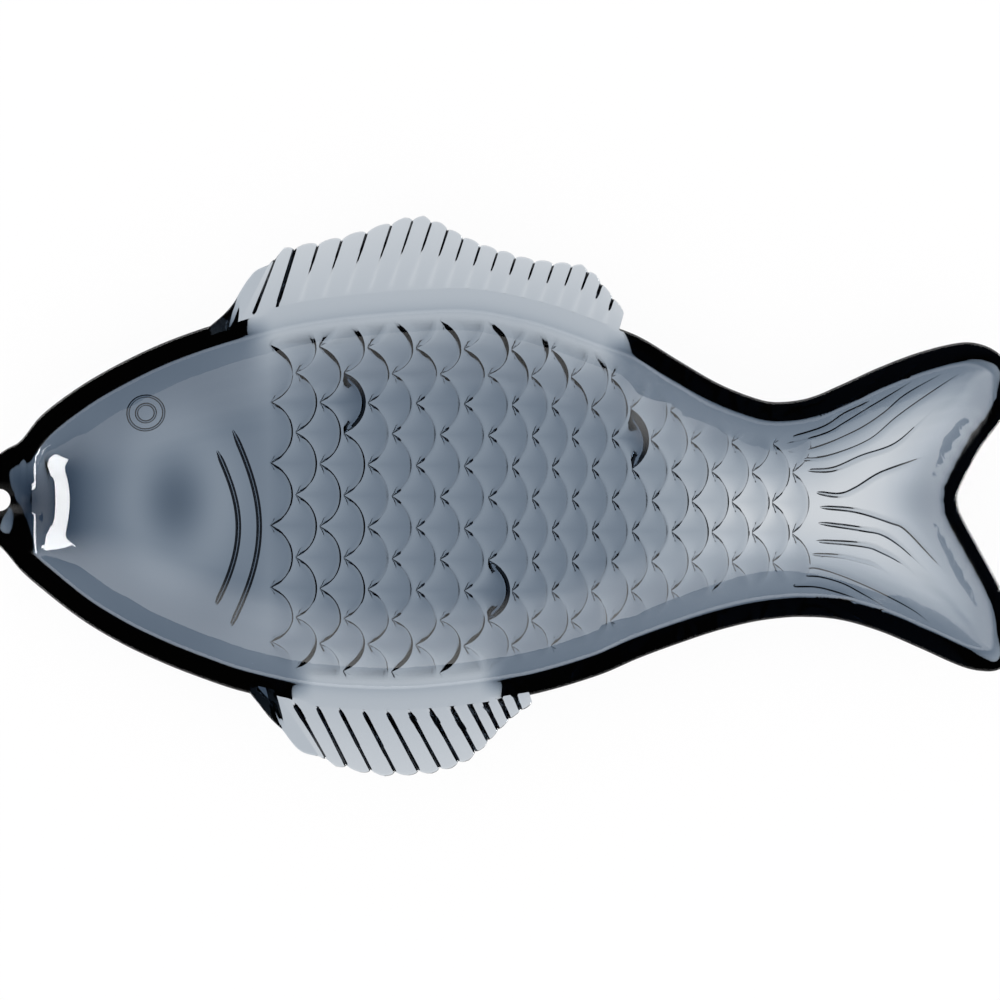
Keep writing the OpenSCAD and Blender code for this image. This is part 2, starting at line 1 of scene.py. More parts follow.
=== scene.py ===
# Fish shaped platter of smoke-grey pressed glass, seen from straight above on a white table.
# The glass is one closed mesh: the dish is a grid that follows the scales, and fins, ribs and rings are joined to it.
import math
import bpy
import numpy as np
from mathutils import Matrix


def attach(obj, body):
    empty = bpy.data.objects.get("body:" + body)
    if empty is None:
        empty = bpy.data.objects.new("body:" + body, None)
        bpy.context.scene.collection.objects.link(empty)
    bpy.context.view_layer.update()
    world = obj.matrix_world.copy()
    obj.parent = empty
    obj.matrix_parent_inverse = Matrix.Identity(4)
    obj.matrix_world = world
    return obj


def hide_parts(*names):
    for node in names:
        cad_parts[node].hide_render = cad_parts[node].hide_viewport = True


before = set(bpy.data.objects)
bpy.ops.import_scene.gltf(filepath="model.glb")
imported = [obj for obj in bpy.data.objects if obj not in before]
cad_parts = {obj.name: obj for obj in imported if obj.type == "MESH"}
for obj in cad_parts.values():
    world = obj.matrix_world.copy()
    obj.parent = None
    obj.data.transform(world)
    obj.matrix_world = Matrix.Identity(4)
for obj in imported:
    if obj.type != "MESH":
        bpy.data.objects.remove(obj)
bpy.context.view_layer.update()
print("frame loaded")

mm = 0.001

# What a user would change on the dish, in millimetres. Shares are of the length or of half the dish's width.
dish = {
    "length": 360.0, "halfWidth": 74.0, "rimTop": 28.9, "wellDepth": 20.0, "wallRun": 32.0,
    "glass": 5.7, "headGlass": 7.2, "tailGlass": 1.5, "edge": 1.2, "edgeRound": 0.95, "innerRound": 0.7,
    "rim": 7.7, "noseRim": 16.0, "forkRim": 7.0, "steepest": 1.3, "forkCosine": 0.87, "forkSteepness": 1.22,
    "channelDepth": 1.5, "channelWidth": 9.0, "channelFrom": 9.0, "channelFade": 12.0,
    "mouthY": -1.4, "lipLength": 8.4, "mouthWidth": 7.7, "notchShare": 0.947, "notchY": -0.7,
}
# Points along the outline and the fork, the power that rounds the joined distance, and the least distance
curves = {"outlineSteps": 3001, "forkSteps": 400, "power": 4, "least": 0.001}
front = -dish["length"] / 2
# Slopes of the underside below the rim, and the places along the fish where its form changes. The head's and the
# nose's places are distances behind the front.
underside = {
    "slope": 1.1, "curve": 0.0117, "wallSlope": 0.92, "thinFrom": 34.0, "thinFade": 60.0,
    "noseSlope": 1.3, "noseRun": 24.0, "leastRest": 0.5, "noseFrom": 18.0, "noseFade": 22.0,
    "headEnd": 70.0, "headFade": 40.0,
}
# Root of each fin along the rim, and how far the underside lies below the rim at a distance from the edge
finRoots = {
    "dorsal": (-92.0, 49.0), "belly": (-76.0, 4.0), "dorsalFade": 14.0, "bellyFade": 12.0,
    "bend": np.array([[0, 2.9], [4, 3.1], [7, 3.8], [8.5, 5.0], [10, 7.1], [12, 9.9], [14, 12.5], [17, 15.8],
                      [20, 18.7], [23, 21.1], [28, 23.9]]),
}
upperShares = np.array([
    [0, 0.123], [0.0078, 0.18], [0.0195, 0.223], [0.033, 0.261], [0.0526, 0.379], [0.0916, 0.522],
    [0.1306, 0.631], [0.1696, 0.721], [0.2086, 0.792], [0.2476, 0.849], [0.2963, 0.911], [0.3635, 0.958],
    [0.4454, 0.985], [0.4815, 0.98], [0.5205, 0.946], [0.5556, 0.901], [0.6053, 0.815], [0.6374, 0.755],
    [0.6764, 0.64], [0.7154, 0.531], [0.7544, 0.458], [0.7739, 0.446], [0.803, 0.467], [0.8324, 0.526],
    [0.8713, 0.612], [0.9103, 0.683], [0.9493, 0.728], [0.9688, 0.722], [0.9873, 0.678], [0.9961, 0.617], [1, 0.531]])
lowerShares = np.array([
    [0, -0.171], [0.0078, -0.214], [0.0195, -0.271], [0.033, -0.351], [0.0526, -0.436], [0.0916, -0.583],
    [0.1306, -0.697], [0.1696, -0.787], [0.2086, -0.862], [0.2476, -0.925], [0.306, -0.987], [0.3548, -1.01],
    [0.4035, -1.015], [0.4522, -0.998], [0.501, -0.968], [0.54, -0.934], [0.5984, -0.849], [0.6374, -0.768],
    [0.6764, -0.698], [0.7154, -0.636], [0.7544, -0.592], [0.7934, -0.574], [0.8324, -0.588], [0.8713, -0.642],
    [0.9103, -0.722], [0.9493, -0.806], [0.9688, -0.83], [0.9873, -0.825], [0.9961, -0.778], [1, -0.69]])
depthShares = np.array([[0, 0.9], [0.15, 1], [0.7, 1], [0.8, 0.84], [0.88, 0.66], [1, 0.5]])
notch = {"x": front + dish["notchShare"] * dish["length"], "y": dish["notchY"]}
# The fork: distance behind the notch against the height above or below it
upperForkShares = np.array([
    [0, 0], [0.0024, 0.05], [0.0219, 0.232], [0.0404, 0.355], [0.0492, 0.426], [0.053, 0.474]])
lowerForkShares = np.array([
    [0, 0], [0.0024, 0.066], [0.0219, 0.246], [0.0404, 0.412], [0.0492, 0.507], [0.053, 0.588]])


# A smooth curve through points: on each interval the cubic whose end slopes are the mean slopes there
def curveThrough(points, x):
    px, py = points[:, 0], points[:, 1]
    before = np.maximum(np.arange(len(px)) - 1, 0)
    after = np.minimum(np.arange(len(px)) + 1, len(px) - 1)
    slope = (py[after] - py[before]) / (px[after] - px[before])
    i = np.clip(np.searchsorted(px, x, side="right") - 1, 0, len(px) - 2)
    w = px[i + 1] - px[i]
    t = (x - px[i]) / w
    return ((2 * t**3 - 3 * t**2 + 1) * py[i] + (t**3 - 2 * t**2 + t) * w * slope[i]
            + (3 * t**2 - 2 * t**3) * py[i + 1] + (t**3 - t**2) * w * slope[i + 1])


def ease(t):
    t = np.clip(t, 0, 1)
    return t * t * (3 - 2 * t)


def mix(a, b, t):
    return a + (b - a) * t


shareSteps = np.linspace(0, 1, curves["outlineSteps"])
outlineX = front + shareSteps * dish["length"]
upperLine = curveThrough(upperShares, shareSteps) * dish["halfWidth"]
lowerLine = curveThrough(lowerShares, shareSteps) * dish["halfWidth"]
slopeLimit = dish["steepest"]
upperStretch = np.hypot(1, np.clip(np.gradient(upperLine, outlineX), -slopeLimit, slopeLimit))
lowerStretch = np.hypot(1, np.clip(np.gradient(lowerLine, outlineX), -slopeLimit, slopeLimit))


def upperY(x):
    return np.interp(x, outlineX, upperLine)


def lowerY(x):
    return np.interp(x, outlineX, lowerLine)


def forkPath(count):
    # the fork's edge from the lower tip over the notch to the upper tip, as points x, y
    low, high = lowerForkShares[::-1], upperForkShares[1:]
    heights = np.concatenate([-low[:, 1], high[:, 1]]) * dish["halfWidth"]
    places = np.concatenate([low[:, 0], high[:, 0]]) * dish["length"]
    y = np.linspace(heights[0], heights[-1], count)
    x = np.maximum(curveThrough(np.stack([heights, places], 1), y), 0)
    return notch["x"] + x, notch["y"] + y


forkXs, forkYs = forkPath(curves["forkSteps"])


# Distances to the upper edge, the lower edge, the front and the fork, each square to its edge
def edgeGaps(x, y):
    return np.stack([
        (upperY(x) - y) / np.interp(x, outlineX, upperStretch),
        (y - lowerY(x)) / np.interp(x, outlineX, lowerStretch),
        x - front,
        (np.interp(y, forkYs, forkXs) - x) * dish["forkCosine"]])


# One rounded distance: the minus fourth root of the sum of the minus fourth powers, negative past the edge
def joinedGap(gaps):
    least, power = gaps.min(axis=0), curves["power"]
    rounded = (np.maximum(gaps, curves["least"]) ** -power).sum(axis=0) ** (-1 / power)
    return np.where(least > 0, rounded, least)


def wellShare(x):
    return np.interp((x - front) / dish["length"], depthShares[:, 0], depthShares[:, 1])


rimWidths = np.array([dish["rim"], dish["rim"], dish["noseRim"], dish["forkRim"] * dish["forkCosine"]])


# Inside of the well: a parabola of the distance from the rim, with a rounded start, down to the flat floor
def wellZ(x, y):
    gaps = edgeGaps(x, y)
    d = joinedGap(gaps - rimWidths.reshape((4,) + (1,) * np.ndim(x)))
    r = dish["innerRound"]
    d = np.where(d < -r, 0, np.where(d > r, d, (d + r) ** 2 / (4 * r)))
    share = wellShare(x)
    drop = dish["wellDepth"] * share * (1 - (1 - np.minimum(d / dish["wallRun"] / share, 1)) ** 2)
    dip = dish["channelDepth"] * np.exp(-((y - dish["mouthY"]) / dish["channelWidth"] * 2) ** 2)
    dip = dip * (1 - ease((x - front - dish["channelFrom"]) / dish["channelFade"]))
    nose = np.clip(gaps[2], 0, dish["edgeRound"])
    roundOff = dish["edgeRound"] - np.sqrt(dish["edgeRound"] ** 2 - (dish["edgeRound"] - nose) ** 2)
    return dish["rimTop"] - drop - dip - roundOff


# Where a fin grows out of the rim, 1 along its root and 0 away from it
def finShare(x, y):
    shares = []
    for fin in ("dorsal", "belly"):
        (start, end), fade = finRoots[fin], finRoots[fin + "Fade"]
        shares.append(ease((x - start) / fade) * ease((end - x) / fade))
    return np.where(y > 0, shares[0], shares[1])


# Soft oval waves in the thickness of the head's floor: a cosine of the oval distance that dies out
cheek = {"x": -115.0, "y": -1.5, "halfLength": 17.0, "halfWidth": 25.0, "height": 1.7, "reach": 3.0,
         "from": 16.0, "fade": 20.0}


def headOval(x, y):
    r = np.hypot((x - cheek["x"]) / cheek["halfLength"], (y - cheek["y"]) / cheek["halfWidth"])
    fadeIn = ease((x - front - cheek["from"]) / cheek["fade"])
    return cheek["height"] * np.cos(math.pi * r) * np.exp(-r * r / cheek["reach"]) * fadeIn


# The drop over a run that starts with a slope and flattens out: rest times 1 minus (1 - t) to the power that gives
# the slope at the start
def flattened(rest, run, t, slope):
    return rest * (1 - (1 - np.clip(t, 0, 1)) ** (slope * run / rest))


# Underside: the same form from the rim's outer edge, one glass thickness lower on the floor.
# At a fin it starts level with the fin's underside and bends down into the wall along a smooth curve.
def underZ(x, y):
    gaps = edgeGaps(x, y)
    gaps[3] *= dish["forkSteepness"]
    d = np.maximum(joinedGap(gaps), curves["least"])
    share, edge, rim = wellShare(x), dish["edge"], dish["rim"]
    glass = mix(dish["headGlass"], dish["glass"], ease((x - front - underside["headEnd"]) / underside["headFade"]))
    depth = dish["wellDepth"] * share + glass - edge
    drop = edge + depth * (1 - (1 - np.minimum(d / (dish["wallRun"] * share + rim), 1)) ** 2)
    # towards the tail the glass is thinner: as steep under the rim, and flattened sooner towards the floor
    slope, curve, run = underside["slope"], underside["curve"], dish["wallRun"] * share
    steepPart = np.minimum(d, rim)
    rest = dish["wellDepth"] * share + dish["tailGlass"] - edge - rim * (slope - curve * rim)
    flat = flattened(rest, run, (d - rim) / run, underside["wallSlope"])
    thin = edge + steepPart * (slope - curve * steepPart) + flat
    drop = mix(drop, thin, ease((x - underside["thinFrom"]) / underside["thinFade"]))
    # behind the lips the wall stays steep as far as the broad rim reaches
    slope, run, rim = underside["noseSlope"], underside["noseRun"], dish["noseRim"]
    rest = np.maximum(depth - rim * slope, underside["leastRest"])
    nose = edge + np.minimum(d, rim) * slope + flattened(rest, run, (d - rim) / run, slope)
    drop = mix(nose, drop, ease((x - front - underside["noseFrom"]) / underside["noseFade"]))
    bendEnd = finRoots["bend"][-1, 0]
    bent = np.where(d < bendEnd, curveThrough(finRoots["bend"], np.minimum(d, bendEnd)), drop)
    z = dish["rimTop"] - mix(drop, bent, finShare(x, y)) - headOval(x, y)
    return np.minimum(z, wellZ(x, y) - edge)


# The scales on the underside. The lines before and behind an edge lie at fixed distances from it, and each has its
# height for a crisp edge near the walls and for a soft one in the middle of the floor.
scales = {
    "pitch": 22.2, "firstShare": 0.2968, "lastShare": 0.806, "chains": 25, "sag": 0.87, "height": 1.5, "step": 0.85,
    "margin": 1.2, "fade": 6.0, "perPitch": 16, "rowGap": 0.12, "floorHalf": 44.4, "wallPitch": 0.84,
    "drift": 0.016, "middleY": 0.52, "leastHeight": 0.6, "heightPower": 0.7, "halfReach": 82.0, "slantLimit": 0.72,
    "spacing": ([0, 0.375, 1], [0, 0.42, 1]),
    "rise": [(0, 0), (0.12, 0.16), (0.25, 0.33), (0.37, 0.5)],
    "edge": [(-2.15, 0.6, 0.97, 0.97), (-1.8, 0.5, 1.0, 0.99), (-1.45, 0.41, 0.88, 0.85), (-0.85, 0.24, 0.58, 0.46),
             (-0.25, 0.07, 0.27, 0.08), (-0.03, 0, 0.02, 0.01), (0.2, 0, 0, 0), (0.5, 0, 0.02, 0.02)],
    "softFrom": -47.0, "softTo": 70.0, "softGap": 25.0, "softAcross": 10.0, "softAlong": 14.0,
}
feet = {"places": [(4, 1.5), (10, -1.5), (17, 1.0)],
        "depth": [0, 0.12, 0.3, 0.47, 0.98, 1, 1, 0.75, 0.3, 0.12, 0.03, 0.01], "margin": 0.01}
# Lines across the fish outside the scales: their places at the two ends, their numbers and the gaps to the scales,
# and where the rows change from even ones to the scales' pitch and on to the tail's rays
grid = {"ends": np.array([0, 0.1, 0.3, 0.6, 0.95, 1.6]), "headStart": 2.6, "headLines": 58, "tailLines": 56,
        "headGap": 1.5, "firstGap": 0.2, "tailGap": 0.6, "bodyFrom": 50.0, "bodyFade": 40.0,
        "raysFrom": 1.0, "raysFade": 9.0, "middleFade": 20.0}
firstChain = front + scales["firstShare"] * dish["length"]
lastChain = front + scales["lastShare"] * dish["length"]
halfRows = int(math.ceil(scales["halfReach"] / scales["pitch"] * scales["perPitch"]))
rowCount = 2 * halfRows + 1
rowS = (np.arange(rowCount) - halfRows) * scales["pitch"] / scales["perPitch"]
rowIndex = np.arange(rowCount)


def chainX(k):
    return mix(firstChain, lastChain, np.interp((k - 1) / (scales["chains"] - 1), *scales["spacing"]))


def chainSag(k):
    return scales["sag"] * (chainX(max(k, 2)) - chainX(max(k, 2) - 1))


# Radius of the arcs of chain k, and the distance of every row from the middle of its scale
def arcOf(k, s):
    sag, pitch = chainSag(k), scales["pitch"]
    t = (s - (pitch / 2 if k % 2 == 0 else 0)) / pitch
    return (pitch**2 / 4 + sag**2) / sag / 2, (t - np.round(t)) * pitch


# How far an arc of chain k lies behind its tip: a circle's sagitta at the distance from the scale's middle
def arcBack(k, s):
    radius, off = arcOf(k, s)
    return radius - np.sqrt(radius**2 - off**2)


# How much longer a distance square to the arc is when it is measured along the fish
def arcSlant(k, s):
    radius, off = arcOf(k, s)
    return 1 / np.sqrt(1 - np.minimum(np.abs(off) / radius, scales["slantLimit"]) ** 2)


def middleY(x):
    return scales["middleY"] - scales["drift"] * (x - firstChain)


def rowY(s, x):
    c = np.abs(s)
    return middleY(x) + np.sign(s) * (np.minimum(c, scales["floorHalf"])
                                      + np.maximum(c - scales["floorHalf"], 0) * scales["wallPitch"])


def rowOf(y, x):
    c = np.abs(y - middleY(x))
    return np.sign(y - middleY(x)) * (np.minimum(c, scales["floorHalf"])
                                      + np.maximum(c - scales["floorHalf"], 0) / scales["wallPitch"])


def chainLine(k):
    # x of chain k's edge on every row; beyond the walls it stays as it is at the rim
    x = chainX(k)
    return x - arcBack(k, np.clip(rowS, rowOf(lowerY(x) + dish["rim"], x), rowOf(upperY(x) - dish["rim"], x)))


def tailMiddle(x):
    return mix(middleY(x), notch["y"], ease((x - lastChain) / grid["middleFade"]))


# y of every row on a line: evenly in the head and the tail, and by the scales' pitch in the body
def lineY(x):
    low, high = lowerY(x), upperY(x)
    even = mix(low, high, rowIndex / (rowCount - 1))
    gap = scales["rowGap"]
    pitched = np.clip(rowY(rowS, x), low + gap * rowIndex, high - gap * (rowCount - 1 - rowIndex))
    middle = tailMiddle(x)
    share = np.abs(rowIndex - halfRows) / halfRows
    rays = mix(middle, np.where(rowIndex <= halfRows, low, high), share)
    y = mix(even, pitched, ease((x - front - grid["bodyFrom"]) / grid["bodyFade"]))
    y = mix(y, rays, ease((x - lastChain - grid["raysFrom"]) / grid["raysFade"]))
    y[0], y[-1] = low[0], high[-1]
    return y


def dishGrid():
    # lines across the fish: straight ones in the head and tail, arcs that follow the scales in the body
    lines, reliefs = [], []
    headEnd = firstChain - chainSag(1) - grid["headGap"]
    headLines = np.linspace(front + grid["headStart"], headEnd, grid["headLines"])
    for x in np.concatenate([front + grid["ends"], headLines]):
        lines.append(np.full(rowCount, x))
        reliefs.append(np.zeros(rowCount))
    previous = np.full(rowCount, headEnd + grid["firstGap"])
    widest = chainX(2) - chainX(1) + chainSag(1) - scales["step"]
    for k in range(1, scales["chains"] + 1):
        edge = chainLine(k)
        width = edge - previous
        height = scales["height"] * mix(
            scales["leastHeight"], 1, np.clip(width / widest, 0, 1) ** scales["heightPower"])
        y = lineY(edge)
        soft = ease((np.minimum(upperY(edge) - y, y - lowerY(edge)) - scales["softGap"]) / scales["softAcross"])
        for inside in (edge - scales["softFrom"], scales["softTo"] - edge):
            soft = soft * ease(inside / scales["softAlong"])
        onFoot = np.zeros(rowCount, bool)
        for chain, place in feet["places"]:
            if chain == k:
                onFoot = np.abs(rowS - place * scales["pitch"]) < scales["pitch"] / 2 - feet["margin"]
        places = [(mix(previous, edge, t), h, h) for t, h in scales["rise"]]
        slant = arcSlant(k, rowS)
        places += [(edge + np.maximum(u * (slant if u < 0 else 1), -cap * width), hard, easy)
                   for u, cap, hard, easy in scales["edge"]]
        for n, (x, hard, easy) in enumerate(places):
            lines.append(x)
            reliefs.append(np.where(onFoot, -feet["depth"][n], height * mix(hard, easy, soft)))
        previous = edge + scales["step"]
    lines.append(previous)
    reliefs.append(np.zeros(rowCount))
    tailStart = lastChain + scales["step"] + grid["tailGap"]
    tailLines = np.linspace(tailStart, -front - grid["ends"][-1], grid["tailLines"])
    for x in np.concatenate([tailLines, -front - grid["ends"][-2::-1]]):
        lines.append(np.full(rowCount, x))
        reliefs.append(np.zeros(rowCount))
    x = np.array(lines)
    y = np.array([lineY(line) for line in lines])
    gap = edgeGaps(x, y).min(axis=0)
    mask = ease((gap - dish["rim"] - scales["margin"]) / scales["fade"])
    relief = np.array(reliefs)
    smooth = underZ(x, y)
    z = np.where(relief >= 0, smooth - relief * mask, mix(smooth, 0, -relief))
    return x, y, z


topRows = {"roundAngles": [0, 25, 50, 72, 90], "places": [3.6, 6.6, 7.15, 7.5, 7.9, 8.5, 9.6, 11.5, 14.5, 18.5],
           "middle": 15, "widest": 0.85}


# Rows over the top run from edge to edge: the rounded rim, its flat, its inner edge and then evenly over the well.
# At a fin the rim isn't rounded, because the fin's top goes on from it.
def topGrid(edgeLowX, edgeHighX):
    r = dish["edgeRound"]
    angles = np.radians(topRows["roundAngles"])
    q = np.concatenate([r * (1 - np.cos(angles)), topRows["places"]])
    drop = np.concatenate([r * (1 - np.sin(angles)), np.zeros(len(topRows["places"]))])
    middleRows = topRows["middle"]
    lowStretch = np.interp(edgeLowX, outlineX, lowerStretch)
    highStretch = np.interp(edgeHighX, outlineX, upperStretch)
    half = (upperY(edgeHighX) - lowerY(edgeLowX)) / 2
    squeezeLow = np.minimum(1, topRows["widest"] * half / (q[-1] * lowStretch))
    squeezeHigh = np.minimum(1, topRows["widest"] * half / (q[-1] * highStretch))
    low = lowerY(edgeLowX)[:, None] + q[None] * (lowStretch * squeezeLow)[:, None]
    high = upperY(edgeHighX)[:, None] - q[None] * (highStretch * squeezeHigh)[:, None]
    between = np.linspace(0, 1, middleRows + 2)[1:-1]
    centre = mix(low[:, -1:], high[:, -1:], between[None])
    y = np.concatenate([low, centre, high[:, ::-1]], axis=1)
    share = (y - y[:, :1]) / (y[:, -1:] - y[:, :1])
    x = mix(edgeLowX[:, None], edgeHighX[:, None], share)
    z = wellZ(x, y)
    fall = np.concatenate([drop, np.zeros(middleRows), drop[::-1]])
    return x, y, z - fall[None] * (1 - finShare(x, y))


def meshFrom(name, points, faces):
    mesh = bpy.data.meshes.new(name)
    mesh.from_pydata((np.asarray(points) * mm).tolist(), [], faces)
    mesh.validate()
    obj = bpy.data.objects.new(name, mesh)
    bpy.context.scene.collection.objects.link(obj)
    return obj


# A closed skin of rings: each ring is joined to the next, and the two end rings are filled with one face each
def skinOfRings(name, rings):
    count, size = rings.shape[:2]
    i, j = np.meshgrid(np.arange(count - 1), np.arange(size), indexing="ij")
    k = (j + 1) % size
    quads = np.stack([i * size + j, (i + 1) * size + j, (i + 1) * size + k, i * size + k], -1).reshape(-1, 4)
    faces = quads.tolist() + [list(range(size)), list(range(count * size - 1, (count - 1) * size - 1, -1))]
    return meshFrom(name, rings.reshape(-1, 3), faces)


# A closed skin over lines x, y with an underside and a top
def plateSolid(name, x, y, below, above):
    rings = np.concatenate([np.stack([x, y, below], -1), np.stack([x, y, above], -1)[:, ::-1]], axis=1)
    return skinOfRings(name, rings)


# A closed tube: rings that also join the last to the first
def closedTube(name, rings):
    count, size = rings.shape[:2]
    i, j = np.meshgrid(np.arange(count), np.arange(size), indexing="ij")
    n, k = (i + 1) % count, (j + 1) % size
    quads = np.stack([i * size + j, n * size + j, n * size + k, i * size + k], -1).reshape(-1, 4)
    return meshFrom(name, rings.reshape(-1, 3), quads.tolist())


def volumeOf(obj):
    mesh = obj.data
    co = np.empty(len(mesh.vertices) * 3)
    mesh.vertices.foreach_get("co", co)
    co = co.reshape(-1, 3)
    mesh.calc_loop_triangles()
    tri = np.empty(len(mesh.loop_triangles) * 3, np.int64)
    mesh.loop_triangles.foreach_get("vertices", tri)
    a, b, c = (co[tri.reshape(-1, 3)[:, n]] for n in range(3))
    return float(np.einsum("ij,ij->i", a, np.cross(b, c)).sum() / 6)


def faceOutwards(obj):
    if volumeOf(obj) < 0:
        obj.data.flip_normals()
    return obj


def joinSolids(target, others, operation):
    # one exact boolean for each piece, applied at once, so that the glass stays a single closed skin
    for other in others:
        faceOutwards(other)
        tool = target.modifiers.new(operation, "BOOLEAN")
        tool.operation = operation
        tool.solver = "MANIFOLD"
        tool.object = other
        graph = bpy.context.evaluated_depsgraph_get()
        result = bpy.data.meshes.new_from_object(target.evaluated_get(graph))
        target.modifiers.clear()
        old = target.data
        target.data = result
        bpy.data.meshes.remove(old)
        bpy.data.objects.remove(other)
    return target


gridX, gridY, gridZ = dishGrid()
topX, topY, topZ = topGrid(gridX[:, 0], gridX[:, -1])
underPoints = np.stack([gridX, gridY, gridZ], -1)
topPoints = np.stack([topX, topY, topZ], -1)
glassBody = faceOutwards(skinOfRings("glass_platter", np.concatenate([underPoints, topPoints[:, ::-1]], axis=1)))
print("dish", len(glassBody.data.polygons), "faces, volume in ml", round(volumeOf(glassBody) * 1e6, 1))


# A cutter: a closed outline whose path part is moved outwards by a quarter round where it crosses the rim's top
cutter = {"roundAngles": [0, 18, 36, 54, 72, 90], "bottom": -4.0, "above": 1.5, "past": 12.0, "forkSteps": 160,
          "mouthPast": 8.0, "mouthSteps": 33}


def roundedCutter(name, pathX, pathY, closing):
    path = np.stack([pathX, pathY], 1)
    step = np.gradient(path, axis=0)
    normal = np.stack([-step[:, 1], step[:, 0]], 1) / np.linalg.norm(step, axis=1)[:, None]
    r, top = dish["edgeRound"], dish["rimTop"]
    levels = [(cutter["bottom"], 0.0)]
    levels += [(top - r + r * math.sin(a), r * (1 - math.cos(a))) for a in np.radians(cutter["roundAngles"])]
    levels += [(top + cutter["above"], r + cutter["above"])]
    rings = []
    for z, offset in levels:
        moved = np.concatenate([path + normal * offset, np.array(closing)])
        rings.append(np.concatenate([moved, np.full((len(moved), 1), z)], 1))
    return skinOfRings(name, np.array(rings))


def forkCutter():
    x, y = forkPath(cutter["forkSteps"])
    far = -front + cutter["past"]
    return roundedCutter("fork_cutter", x, y, [(far, y[-1]), (far, y[0])])


def mouthCutter():
    radius = dish["mouthWidth"] / 2
    centre = front + dish["lipLength"] - radius
    angles = np.radians(np.linspace(90, -90, cutter["mouthSteps"]))
    near, far = front - cutter["mouthPast"], front - cutter["past"]
    x = np.concatenate([[near], centre + radius * np.cos(angles), [near]])
    y = dish["mouthY"] + np.concatenate([[radius], radius * np.sin(angles), [-radius]])
    return roundedCutter("mouth_cutter", x, y, [(far, y[-1]), (far, y[0])])


joinSolids(glassBody, [forkCutter(), mouthCutter()], "DIFFERENCE")
print("fork and mouth cut", len(glassBody.data.polygons))

# The fins: crests as shares of the length and of the fin's height above the rim, the filled corner before the
# first ray in the same shares, and for every groove its depth at the tip and at the root
dorsalFin = {
    "side": 1, "height": 25.85, "lean": 0.38, "thick": 2.8, "edge": 1.9, "round": 0.5, "scallop": 0.3,
    "grooveWidth": (1.7, 0.38), "long": 2, "longWidth": 0.6, "depth": (1.3, 0.42), "reach": 0.4, "firstShift": 5.0,
    "crests": np.array([[0.2749, 0.601], [0.2904, 0.783], [0.3129, 0.782], [0.3363, 0.798], [0.3596, 0.843],
                        [0.385, 0.916], [0.4074, 0.989], [0.4264, 1], [0.4435, 0.894], [0.4581, 0.769],
                        [0.4737, 0.67], [0.4912, 0.602], [0.5078, 0.575], [0.5263, 0.551], [0.5448, 0.575],
                        [0.5634, 0.629], [0.5809, 0.688], [0.5945, 0.62], [0.6062, 0.471], [0.617, 0.333]]),
    "corner": np.array([[0.2153, -0.02], [0.2244, 0.045], [0.2328, 0.115], [0.2411, 0.222], [0.2486, 0.37],
                        [0.2561, 0.497], [0.2636, 0.575], [0.2749, 0.601]]),
}
bellyFin = {
    "side": -1, "height": 23.25, "lean": 0.6, "thick": 2.8, "edge": 2.0, "round": 1.0, "scallop": 0.3,
    "grooveWidth": (1.2, 0.6), "long": 99, "longWidth": 0.8, "depth": (1.5, 1.5), "reach": 1.0, "firstShift": 5.0,
    "crests": np.array([[0.3246, 0.754], [0.3411, 0.884], [0.365, 0.951], [0.3889, 1], [0.4123, 0.994],
                        [0.4347, 0.989], [0.4532, 0.939], [0.4708, 0.847], [0.4854, 0.682], [0.4951, 0.53],
                        [0.5049, 0.396], [0.5161, 0.266], [0.5273, 0.182]]),
    "corner": np.array([[0.2572, 0.0], [0.2667, 0.145], [0.2758, 0.29], [0.2853, 0.405], [0.29, 0.462],
                        [0.2972, 0.592], [0.3039, 0.685], [0.3115, 0.735], [0.3246, 0.754]]),
}
rayPhases = np.array([-0.5, -0.47, -0.44, -0.4, -0.34, -0.22, 0, 0.22, 0.34, 0.4, 0.44, 0.47])
# What both fins share. Places run from 0 at the root to 1 at the edge, other lengths are in millimetres.
finForm = {
    "inside": 3.2, "scallopWidth": 1.94, "roundAbove": 0.3, "roundBelow": 0.55,
    "places": np.array([0, 0.14, 0.2, 0.26, 0.34, 0.45, 0.57, 0.69, 0.8, 0.88, 0.93, 0.96, 0.98, 0.992, 1.0]),
    "grooveFrom": 0.1, "grooveFade": 0.12, "narrowing": 0.8,
}
# The filled corner: its lines lie at places inwards from its outline, and its underside slopes down over the run
corner = {
    "steps": 44, "rootReached": 0.6, "roundPlaces": np.array([0, 0.1, 0.3, 0.65, 1.0]),
    "places": [2.2, 4, 6.5, 9, 12, 16], "reach": 0.97, "spacing": 0.02, "slope": 1.15, "run": 9.0,
    "levelFrom": 0.3, "levelFade": 0.3, "leastThick": 0.05,
}


# Side of the dish, its edge, and the fin's rays: their crests and the x of their roots
def finRays(fin):
    side, crests = fin["side"], fin["crests"]
    edgeY = upperY if side > 0 else lowerY
    crestX = front + crests[:, 0] * dish["length"]
    crestY = edgeY(crestX) + side * fin["height"] * crests[:, 1]
    rootX = crestX - fin["lean"] * np.abs(crestY - edgeY(crestX))
    rootX[0] -= fin["firstShift"]
    return side, edgeY, crestX, crestY, rootX


